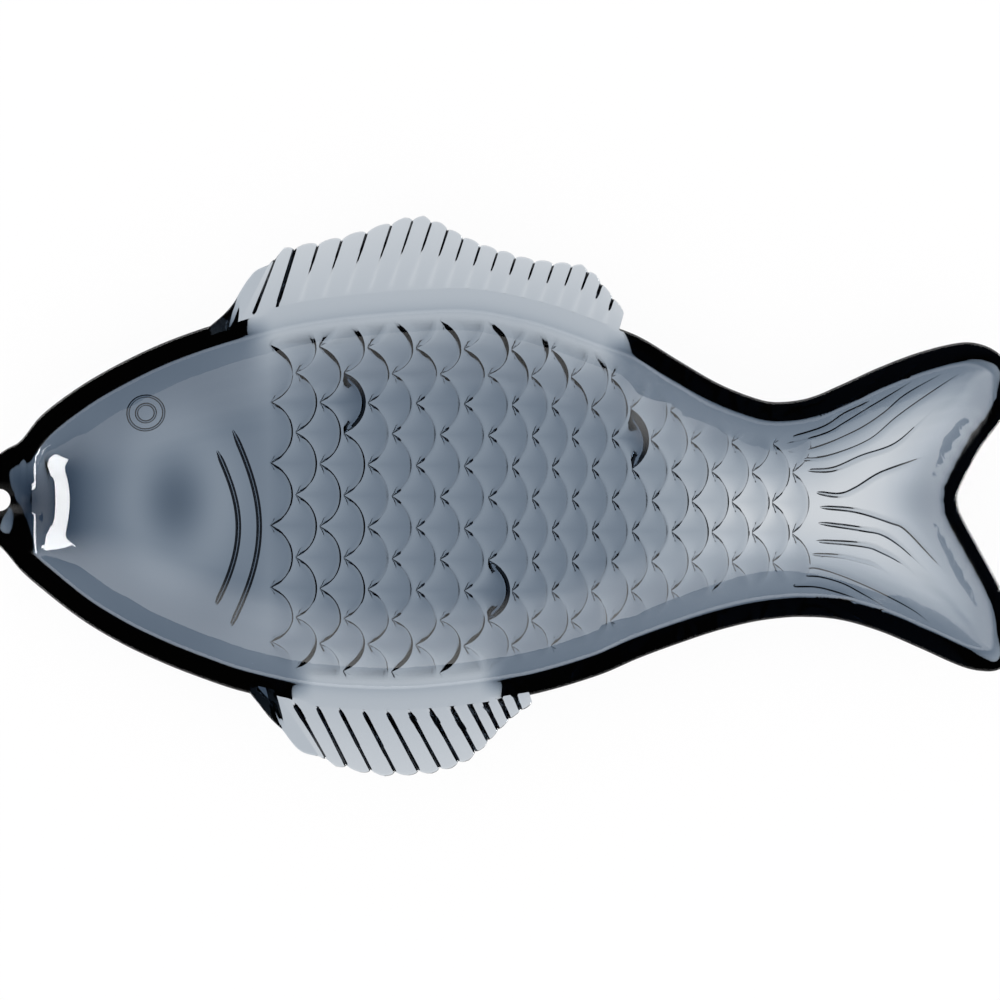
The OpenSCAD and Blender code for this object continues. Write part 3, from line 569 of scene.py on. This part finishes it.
# A fin: s runs along the rim through the rays, t from the root inside the rim out to the scalloped edge.
# The top is level with the rim. Between two rays a V groove is cut from below, rounded at the fin's edge.
def finSolid(name, fin):
    side, edgeY, crestX, crestY, rootX = finRays(fin)
    rays = len(crestX)
    ray = np.arange(rays)
    s = np.append((ray[:, None] + rayPhases[None]).reshape(-1), rays - 0.5)

    def spread(values):
        ends = np.clip(s, 0, rays - 1)
        past = s - ends
        slopes = np.where(past < 0, values[1] - values[0], values[-1] - values[-2])
        return np.interp(ends, ray, values) + past * slopes

    outX, outY, inX = spread(crestX), spread(crestY), spread(rootX)
    inY = edgeY(inX) - side * finForm["inside"]
    phase = s - np.floor(s + 0.5)
    width = np.interp(s, ray, np.abs(np.gradient(crestX)))
    lengths = np.hypot(outX - inX, outY - inY)
    arch = 1 - np.sqrt(np.maximum(1 - (finForm["scallopWidth"] * phase) ** 2, 0))
    scallop = fin["scallop"] * width * arch
    t = finForm["places"]
    tt = t[None] * (1 - scallop / lengths)[:, None]
    x = mix(inX[:, None], outX[:, None], tt)
    y = mix(inY[:, None], outY[:, None], tt)
    groove = np.round(s - 0.5)
    distance = np.abs(s - 0.5 - groove) * width
    inner = (groove >= 0) & (groove < rays - 1)
    long = (groove < fin["long"])[:, None]
    out = ease((t - finForm["grooveFrom"]) / finForm["grooveFade"])
    halfWidth = mix(fin["grooveWidth"][0], fin["grooveWidth"][1], ease(t / finForm["narrowing"]))[None]
    if fin["long"] < rays:
        halfWidth = np.where(long, fin["longWidth"], halfWidth)
    fading = mix(fin["depth"][1], fin["depth"][0], ease((t - 1 + fin["reach"]) / fin["reach"]))[None]
    depth = np.where(long, fin["depth"][0], fading) * out[None] * inner[:, None]
    cut = depth * np.maximum(1 - (distance[:, None] / halfWidth), 0)
    fromEdge = (1 - t)[None] * lengths[:, None]
    e = np.clip(fromEdge / fin["round"], 0, 1)
    closing = 1 - np.sqrt(np.maximum(1 - (1 - e) ** 2, 0))
    thick = mix(fin["thick"], fin["edge"], t)[None] * np.ones((len(s), 1))
    above = dish["rimTop"] - finForm["roundAbove"] * thick * closing
    below = dish["rimTop"] - thick + cut + finForm["roundBelow"] * (thick - cut) * closing
    return plateSolid(name, x, y, below, above)


# The filled corner before the first ray: its outline is swept from the rim to the first crest. Next to the rim its
# underside slopes down from the outline as the wall does, and further out it is as thick as the fin.
def cornerSolid(name, fin):
    side, edgeY, _, _, rootX = finRays(fin)
    u = np.linspace(0, 1, corner["steps"])
    places = np.linspace(0, 1, len(fin["corner"]))
    px = front + curveThrough(np.stack([places, fin["corner"][:, 0]], 1), u) * dish["length"]
    py = edgeY(px) + side * fin["height"] * curveThrough(np.stack([places, fin["corner"][:, 1]], 1), u)
    inX = mix(px[0], rootX[0], ease(u / corner["rootReached"]))
    inY = edgeY(inX) - side * finForm["inside"]
    ox, oy = px - inX, py - inY
    reach = np.hypot(ox, oy)
    r, thick = fin["round"], fin["thick"]
    q = np.concatenate([corner["roundPlaces"] * r, corner["places"]])
    shares = np.linspace(0, corner["reach"], len(q))[None]
    far = np.minimum(q[None], reach[:, None] * shares + q[None] * corner["spacing"])
    x = px[:, None] - ox[:, None] * far / reach[:, None]
    y = py[:, None] - oy[:, None] * far / reach[:, None]
    x = np.concatenate([x, inX[:, None]], axis=1)
    y = np.concatenate([y, inY[:, None]], axis=1)
    far = np.concatenate([far, reach[:, None]], axis=1)
    fall = 1 - np.sqrt(np.maximum(1 - (1 - np.minimum(far / r, 1)) ** 2, 0))
    above = dish["rimTop"] - finForm["roundAbove"] * thick * fall
    level = dish["rimTop"] - thick + finForm["roundBelow"] * thick * fall
    sloping = dish["rimTop"] - dish["edge"] - corner["slope"] * np.minimum(far, corner["run"])
    below = mix(sloping, level, ease((u - corner["levelFrom"]) / corner["levelFade"])[:, None])
    return plateSolid(name, x, y, np.minimum(below, above - corner["leastThick"]), above)


# A rib on the underside: a ridge carried along a path. Its foot reaches the first distance on the steep side and the
# second on the wide side, each from its start to its end value, and its height fades in quickly and out slowly.
ridge = {
    "across": np.array([1, 0.5, 0.16, 0, -0.12, -0.35, -0.65, -0.88, -1]),
    "up": np.array([0, 0.55, 0.93, 1, 0.97, 0.72, 0.34, 0.1, 0]),
    "sunk": 0.1, "inside": 0.6, "widened": 0.35, "fadeIn": 0.05, "leastFade": 0.02, "leastWidth": 0.25,
}


def ribSolid(name, pathX, pathY, side, steep, wide, height, fadeOut):
    step = np.gradient(np.stack([pathX, pathY], 1), axis=0)
    normal = np.stack([-step[:, 1], step[:, 0]], 1) / np.linalg.norm(step, axis=1)[:, None] * side
    along = np.linspace(0, 1, len(pathX))
    blend = ease(along / ridge["widened"])
    fade = np.minimum(1, np.sqrt(along / ridge["fadeIn"])) * ease((1 - along) / fadeOut)
    fade = np.clip(fade, ridge["leastFade"], 1)[:, None]
    across, up = ridge["across"][None], ridge["up"][None]
    foot = np.where(across > 0, mix(steep[0], steep[1], blend)[:, None], mix(wide[0], wide[1], blend)[:, None])
    sideways = across * foot * mix(ridge["leastWidth"], 1, fade)
    x = pathX[:, None] + normal[:, :1] * sideways
    y = pathY[:, None] + normal[:, 1:] * sideways
    skin = underZ(x, y)
    below = skin + ridge["sunk"] - (height + ridge["sunk"]) * up * fade
    return plateSolid(name, x, y, below, skin + ridge["inside"])


gills = {"middleY": -11.0, "front": (-92.6, 8.4, 58.0), "rear": (-85.2, 10.5, 74.0), "halfWidth": 1.1, "height": 1.5,
         "steps": 61, "fadeOut": 0.1}


def gillSolid(name, place):
    x0, sag, span = place
    y = np.linspace(-span / 2, span / 2, gills["steps"])
    bend = sag * (1 - np.cos(math.pi / 2 * np.minimum(np.abs(y) / (span / 2), 1)))
    half = (gills["halfWidth"],) * 2
    return ribSolid(name, x0 - bend, gills["middleY"] + y, 1, half, half, gills["height"], gills["fadeOut"])


# The tail's rays: points as shares of the length and of half the width, the ridge's steep and wide sides in
# millimetres at the root and further out, and the share of the length over which the ray fades
rays = {
    "height": 0.95, "steps": 48, "crisp": ((1.0, 0.38), (1.1, 3.0)), "soft": ((0.9, 1.1), (0.9, 1.8)),
    "upper": [
        ("crisp", 0.2, [[0.786, 0.304], [0.815, 0.354], [0.835, 0.42], [0.85, 0.455], [0.862, 0.485]]),
        ("crisp", 0.2, [[0.778, 0.266], [0.815, 0.313], [0.835, 0.367], [0.856, 0.434], [0.876, 0.493],
                        [0.908, 0.593]]),
        ("crisp", 0.2, [[0.782, 0.232], [0.808, 0.244], [0.849, 0.327], [0.876, 0.413], [0.897, 0.508],
                        [0.941, 0.636]]),
        ("crisp", 0.2, [[0.794, 0.187], [0.822, 0.199], [0.863, 0.275], [0.89, 0.389], [0.922, 0.508],
                        [0.958, 0.636]]),
        ("soft", 0.5, [[0.803, 0.128], [0.829, 0.133], [0.856, 0.187], [0.89, 0.247], [0.92, 0.384],
                       [0.951, 0.541]]),
        ("soft", 0.3, [[0.812, 0.017], [0.835, 0.005], [0.851, 0.033], [0.875, 0.104], [0.906, 0.157],
                       [0.927, 0.194]])],
    "lower": [
        ("soft", 0.3, [[0.815, -0.052], [0.852, -0.071], [0.885, -0.119], [0.901, -0.152], [0.927, -0.28],
                       [0.947, -0.394]]),
        ("soft", 0.6, [[0.813, -0.128], [0.857, -0.159], [0.877, -0.178], [0.897, -0.242], [0.92, -0.351],
                       [0.941, -0.446]]),
        ("soft", 0.5, [[0.811, -0.218], [0.857, -0.235], [0.875, -0.261], [0.899, -0.331], [0.921, -0.451]]),
        ("soft", 0.4, [[0.807, -0.289], [0.836, -0.299], [0.854, -0.318], [0.872, -0.346], [0.896, -0.432]]),
        ("crisp", 0.4, [[0.798, -0.362], [0.816, -0.365], [0.857, -0.445], [0.901, -0.56], [0.925, -0.655]]),
        ("crisp", 0.3, [[0.799, -0.398], [0.815, -0.406], [0.836, -0.439], [0.852, -0.484], [0.883, -0.579]]),
        ("crisp", 0.3, [[0.788, -0.455], [0.81, -0.46], [0.829, -0.484], [0.852, -0.522]])],
}


def raySolids():
    made = []
    for lobe, side in (("upper", 1), ("lower", -1)):
        for kind, fadeOut, points in rays[lobe]:
            points = np.array(points)
            places = np.linspace(0, 1, len(points))
            u = np.linspace(0, 1, rays["steps"])
            x = front + curveThrough(np.stack([places, points[:, 0]], 1), u) * dish["length"]
            y = curveThrough(np.stack([places, points[:, 1]], 1), u) * dish["halfWidth"]
            made.append(ribSolid(f"{lobe}_ray", x, y, side, *rays[kind], rays["height"], fadeOut))
    return made


eye = {"x": -125.8, "y": 30.9, "radii": (6.4, 3.35), "halfWidth": 0.62, "height": 1.25, "around": 72,
       "across": 12}


def eyeRing(name, radius):
    a = np.linspace(0, 2 * math.pi, eye["around"] + 1)[:-1]
    b = np.linspace(0, 2 * math.pi, eye["across"] + 1)[:-1]
    r = radius + eye["halfWidth"] * np.cos(b)[None]
    x = eye["x"] + np.cos(a)[:, None] * r
    y = eye["y"] + np.sin(a)[:, None] * r
    middle = underZ(eye["x"] + radius * np.cos(a), eye["y"] + radius * np.sin(a))
    return closedTube(name, np.stack([x, y, middle[:, None] + eye["height"] * np.sin(b)[None]], -1))


joinSolids(glassBody, [finSolid("dorsal", dorsalFin), finSolid("belly", bellyFin)], "UNION")
joinSolids(glassBody, [cornerSolid("dorsal_corner", dorsalFin), cornerSolid("belly_corner", bellyFin)], "UNION")
print("fins joined", len(glassBody.data.polygons))
joinSolids(glassBody, [gillSolid("gill_a", gills["front"]), gillSolid("gill_b", gills["rear"]),
                       eyeRing("eye_a", eye["radii"][0]), eyeRing("eye_b", eye["radii"][1])], "UNION")
joinSolids(glassBody, raySolids(), "UNION")
print("gills, eye and rays joined", len(glassBody.data.polygons))

# Edges sharper than this many degrees stay crisp
sharpAngle = 42
glassBody.data.polygons.foreach_set("use_smooth", np.ones(len(glassBody.data.polygons), bool))
glassBody.data.set_sharp_from_angle(angle=math.radians(sharpAngle))
glassBody.data.calc_loop_triangles()
triangles = len(glassBody.data.loop_triangles)
print("glass mesh", triangles, "triangles, volume in ml", round(volumeOf(glassBody) * 1e6, 1))


def newMaterial(name):
    material = bpy.data.materials.new(name)
    material.use_nodes = True
    nodes, links = material.node_tree.nodes, material.node_tree.links
    nodes.clear()
    return material, nodes, links, nodes.new("ShaderNodeOutputMaterial")


# Adds a node and sets its inputs by name
def addNode(nodes, kind, **values):
    node = nodes.new(kind)
    for name, value in values.items():
        node.inputs[name.replace("_", " ")].default_value = value
    return node


# Smoke-grey pressed glass: clear surface with the faint waviness of a mould, tint only from its thickness
smoke = {"color": (0.442, 0.514, 0.59), "density": 462.0, "ior": 1.5, "roughness": 0.008,
         "waves": 55, "waveDetail": 2, "waveStrength": 0.06, "waveHeight": 0.001}


def smokeGlass():
    material, nodes, links, output = newMaterial("smoke_glass")
    shader = addNode(nodes, "ShaderNodeBsdfPrincipled", Base_Color=(1, 1, 1, 1), Roughness=smoke["roughness"],
                     IOR=smoke["ior"], Transmission_Weight=1)
    place = nodes.new("ShaderNodeTexCoord")
    wave = addNode(nodes, "ShaderNodeTexNoise", Scale=smoke["waves"], Detail=smoke["waveDetail"])
    bump = addNode(nodes, "ShaderNodeBump", Strength=smoke["waveStrength"], Distance=smoke["waveHeight"])
    links.new(place.outputs["Object"], wave.inputs["Vector"])
    links.new(wave.outputs["Fac"], bump.inputs["Height"])
    links.new(bump.outputs["Normal"], shader.inputs["Normal"])
    tint = addNode(nodes, "ShaderNodeVolumeAbsorption", Color=smoke["color"] + (1,), Density=smoke["density"])
    links.new(shader.outputs["BSDF"], output.inputs["Surface"])
    links.new(tint.outputs["Volume"], output.inputs["Volume"])
    return material


glassBody.data.materials.clear()
glassBody.data.materials.append(smokeGlass())
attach(glassBody, "root")
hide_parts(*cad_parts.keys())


def mixShaders(nodes, links, amount, first, second):
    node = nodes.new("ShaderNodeMixShader")
    links.new(amount, node.inputs["Fac"])
    links.new(first, node.inputs[1])
    links.new(second, node.inputs[2])
    return node.outputs["Shader"]


# A function that adds math nodes to a tree
def calculator(nodes, links):
    def calculate(operation, first, second):
        node = nodes.new("ShaderNodeMath")
        node.operation = operation
        for socket, value in zip(node.inputs, (first, second)):
            if isinstance(value, (int, float)):
                socket.default_value = value
            else:
                links.new(value, socket)
        return node.outputs["Value"]
    return calculate


# The table: a white sheet that takes the object's faint shadow. It is nearly all plain white for the camera, in
# reflections and through the glass, and dark for rays that were turned inside the glass.
table = {"size": 3.0, "white": (0.92, 0.888, 0.906), "glow": 0.93, "throughGlow": 0.05, "darkShare": 0.92,
         "dark": 0.01}


def tableMaterial():
    material, nodes, links, output = newMaterial("white_table")
    calculate = calculator(nodes, links)
    matte = addNode(nodes, "ShaderNodeBsdfDiffuse", Color=table["white"] + (1,))
    glow = addNode(nodes, "ShaderNodeEmission", Strength=1.0)
    dark = addNode(nodes, "ShaderNodeEmission", Strength=table["dark"])
    path = nodes.new("ShaderNodeLightPath")
    # a ray through the glass counts as a glossy one too, so its share of white is the sum of both
    plain = calculate("MAXIMUM", path.outputs["Is Camera Ray"], path.outputs["Is Glossy Ray"])
    through = calculate("MULTIPLY", path.outputs["Is Transmission Ray"], table["throughGlow"])
    white = calculate("ADD", calculate("MULTIPLY", plain, table["glow"]), through)
    seen = mixShaders(nodes, links, white, matte.outputs["BSDF"], glow.outputs["Emission"])
    turned = calculate("GREATER_THAN", path.outputs["Glossy Depth"], 0.5)
    inside = calculate("MULTIPLY", turned, path.outputs["Is Transmission Ray"])
    inside = calculate("MULTIPLY", inside, table["darkShare"])
    links.new(mixShaders(nodes, links, inside, seen, dark.outputs["Emission"]), output.inputs["Surface"])
    return material


def tableTop():
    half = table["size"] / 2
    mesh = bpy.data.meshes.new("white_table")
    mesh.from_pydata([(-half, -half, 0), (half, -half, 0), (half, half, 0), (-half, half, 0)], [], [(0, 1, 2, 3)])
    obj = bpy.data.objects.new("white_table", mesh)
    bpy.context.scene.collection.objects.link(obj)
    obj.data.materials.append(tableMaterial())


tableTop()

# The room is white for the camera, straight through the glass and near the horizon in reflections. Matt surfaces
# see a dome that is brighter on the belly's side. Reflections see soft light from the sides, and rays that were
# turned inside the glass see less of it and only high up. All else is dark.
dome = {
    "level": 1.2, "slant": 0.3, "dark": 0.015, "backdrop": 0.3,
    "sides": [("Y", 2.2), ("-Y", 1.0), ("-X", 2.8)], "from": 0.2, "to": 0.85,
    "through": 0.25, "throughFrom": 0.35, "throughTo": 0.65,
}


def smoothStep(nodes, links, value, low, high, top):
    node = nodes.new("ShaderNodeMapRange")
    node.interpolation_type = "SMOOTHSTEP"
    node.inputs["From Min"].default_value, node.inputs["From Max"].default_value = low, high
    node.inputs["To Max"].default_value = top
    links.new(value, node.inputs["Value"])
    return node.outputs["Result"]


def room():
    world = bpy.data.worlds.new("studio")
    bpy.context.scene.world = world
    world.use_nodes = True
    nodes, links = world.node_tree.nodes, world.node_tree.links
    nodes.clear()
    calculate = calculator(nodes, links)
    output = nodes.new("ShaderNodeOutputWorld")
    sky = addNode(nodes, "ShaderNodeBackground", Color=(1, 1, 1, 1))
    path = nodes.new("ShaderNodeLightPath")
    place = nodes.new("ShaderNodeTexCoord")
    parts = nodes.new("ShaderNodeSeparateXYZ")
    links.new(place.outputs["Generated"], parts.inputs["Vector"])
    level = calculate("ADD", calculate("MULTIPLY", parts.outputs["Y"], -dome["slant"]), dome["level"])
    sides = 0
    for axis, strength in dome["sides"]:
        towards = calculate("MULTIPLY", parts.outputs[axis[-1]], -1 if axis[0] == "-" else 1)
        sides = calculate("ADD", smoothStep(nodes, links, towards, dome["from"], dome["to"], strength), sides)
    inGlass = calculate("GREATER_THAN", path.outputs["Transmission Depth"], 0.5)
    turned = calculate("GREATER_THAN", path.outputs["Glossy Depth"], 0.5)
    bounced = calculate("GREATER_THAN", path.outputs["Diffuse Depth"], 0.5)
    reflected = calculate("MULTIPLY", calculate("SUBTRACT", 1, inGlass), path.outputs["Is Glossy Ray"])
    high = smoothStep(nodes, links, parts.outputs["Z"], dome["throughFrom"], dome["throughTo"], dome["through"])
    share = calculate("ADD", calculate("MULTIPLY", calculate("MULTIPLY", inGlass, high), turned), reflected)
    sides = calculate("MULTIPLY", calculate("MULTIPLY", sides, share), calculate("SUBTRACT", 1, bounced))
    seen = calculate("ADD", calculate("MULTIPLY", bounced, level), sides)
    straight = calculate("MULTIPLY", inGlass, calculate("SUBTRACT", 1, turned))
    upwards = smoothStep(nodes, links, parts.outputs["Z"], 0, dome["backdrop"], 1)
    low = calculate("MULTIPLY", calculate("SUBTRACT", 1, upwards), reflected)
    for part in (path.outputs["Is Camera Ray"], straight, low, dome["dark"]):
        seen = calculate("MAXIMUM", seen, part)
    links.new(seen, sky.inputs["Strength"])
    links.new(sky.outputs["Background"], output.inputs["Surface"])


room()

# A bright low strip on the tail's side that only the glass reflects
tailLamp = {"place": (0.9, 0.02, 0.38), "size": (1.6, 0.3), "watts": 29.0}


def tailStrip():
    data = bpy.data.lights.new("tail_side_box", "AREA")
    data.shape = "RECTANGLE"
    data.size, data.size_y = tailLamp["size"]
    data.energy = tailLamp["watts"]
    lamp = bpy.data.objects.new("tail_side_box", data)
    bpy.context.scene.collection.objects.link(lamp)
    lamp.location = tailLamp["place"]
    lamp.rotation_euler = (-lamp.location).to_track_quat("-Z", "Y").to_euler()
    lamp.visible_diffuse = False
    lamp.visible_transmission = False


tailStrip()

# The camera looks straight down, and its frame crops the lips and the tail's tips as the photo does
camera = {"height": 2.0, "frameWidth": 0.351, "x": 0.00035, "y": -0.0014, "farthest": 20.0}


def overheadCamera():
    data = bpy.data.cameras.new("overhead")
    distance = camera["height"] - dish["rimTop"] * mm
    data.sensor_fit = "HORIZONTAL"
    data.angle = 2 * math.atan(camera["frameWidth"] / 2 / distance)
    data.clip_end = camera["farthest"]
    obj = bpy.data.objects.new("overhead", data)
    bpy.context.scene.collection.objects.link(obj)
    obj.location = (camera["x"], camera["y"], camera["height"])
    bpy.context.scene.camera = obj


overheadCamera()
bpy.context.scene.view_settings.view_transform = "Standard"
print("scene ready")
